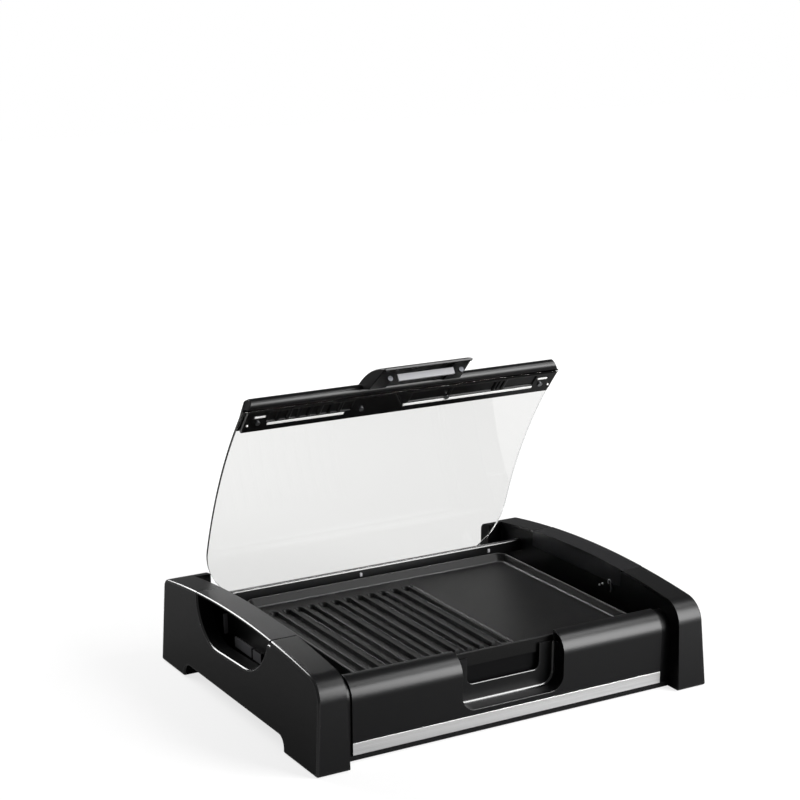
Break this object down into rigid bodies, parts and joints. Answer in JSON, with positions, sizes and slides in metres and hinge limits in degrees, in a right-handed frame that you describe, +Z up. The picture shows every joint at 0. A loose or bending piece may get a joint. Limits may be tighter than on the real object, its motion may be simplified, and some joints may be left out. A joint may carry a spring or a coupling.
{
  "type": "electric indoor grill with hinged lid",
  "caption": "Countertop electric grill: black side housings with hand openings, half-ribbed lift-out plate over a heater, and an arched glass lid on a rear hinge.",
  "frame": {"origin": "on the table under the middle of the grill", "axes": "+Z up, +X to the right along the width, +Y from the front to the rear"},
  "size_m": [0.54, 0.42, 0.3916],
  "materials": {
    "housing_plastic": "satin black moulded phenolic",
    "grip_plastic": "semi-gloss black",
    "inner_plastic": "matte black",
    "grey_plastic": "satin grey",
    "coated_plate": "cast, dark non-stick coating",
    "brushed_trim": "brushed along the length",
    "sheet_steel": "plain pressed sheet",
    "enamel": "dark heat-proof enamel",
    "heater_sheath": "heat-tinted tube",
    "contacts": "plain",
    "screws": "zinc plated",
    "glass": "clear tempered",
    "rubber": "matte"
  },
  "bodies": {
    "base": {"left_side_housing": "housing_plastic", "right_side_housing": "housing_plastic", "left_grip": "grip_plastic", "right_grip": "grip_plastic", "left_inner_wall": "inner_plastic", "right_inner_wall": "inner_plastic", "foot_pads": "rubber", "housing_screws": "screws", "base_tray": "inner_plastic", "front_panel": "housing_plastic", "trim_strip": "brushed_trim", "recess_wall": "inner_plastic", "rear_wall": "inner_plastic", "rear_rail": "inner_plastic", "rail_studs": "sheet_steel", "rear_cover": "inner_plastic", "control_socket": "inner_plastic", "terminal_pins": "contacts", "pan_supports": "sheet_steel", "heat_reflector": "enamel", "drip_tray": "sheet_steel", "heating_element": "heater_sheath", "element_clips": "sheet_steel", "grill_plate": "coated_plate", "left_hinge_pin": "screws", "right_hinge_pin": "screws"},
    "lid": {"lid_glass": "glass", "lid_front_frame": "housing_plastic", "lid_retainer": "inner_plastic", "lid_trim_line": "brushed_trim", "lid_handle": "housing_plastic", "handle_bar": "grey_plastic", "handle_screws": "screws", "lid_rear_clamp": "inner_plastic", "left_hinge_arm": "sheet_steel", "right_hinge_arm": "sheet_steel", "lid_screws": "screws", "clamp_screws": "screws"}
  },
  "joints": [
    {"name": "lid_hinge", "type": "hinge", "parent": "base", "child": "lid", "pos_m": [0, 0.1443, 0.0551], "axis": [1, 0, 0], "range_deg": [0, 64.4]}
  ]
}
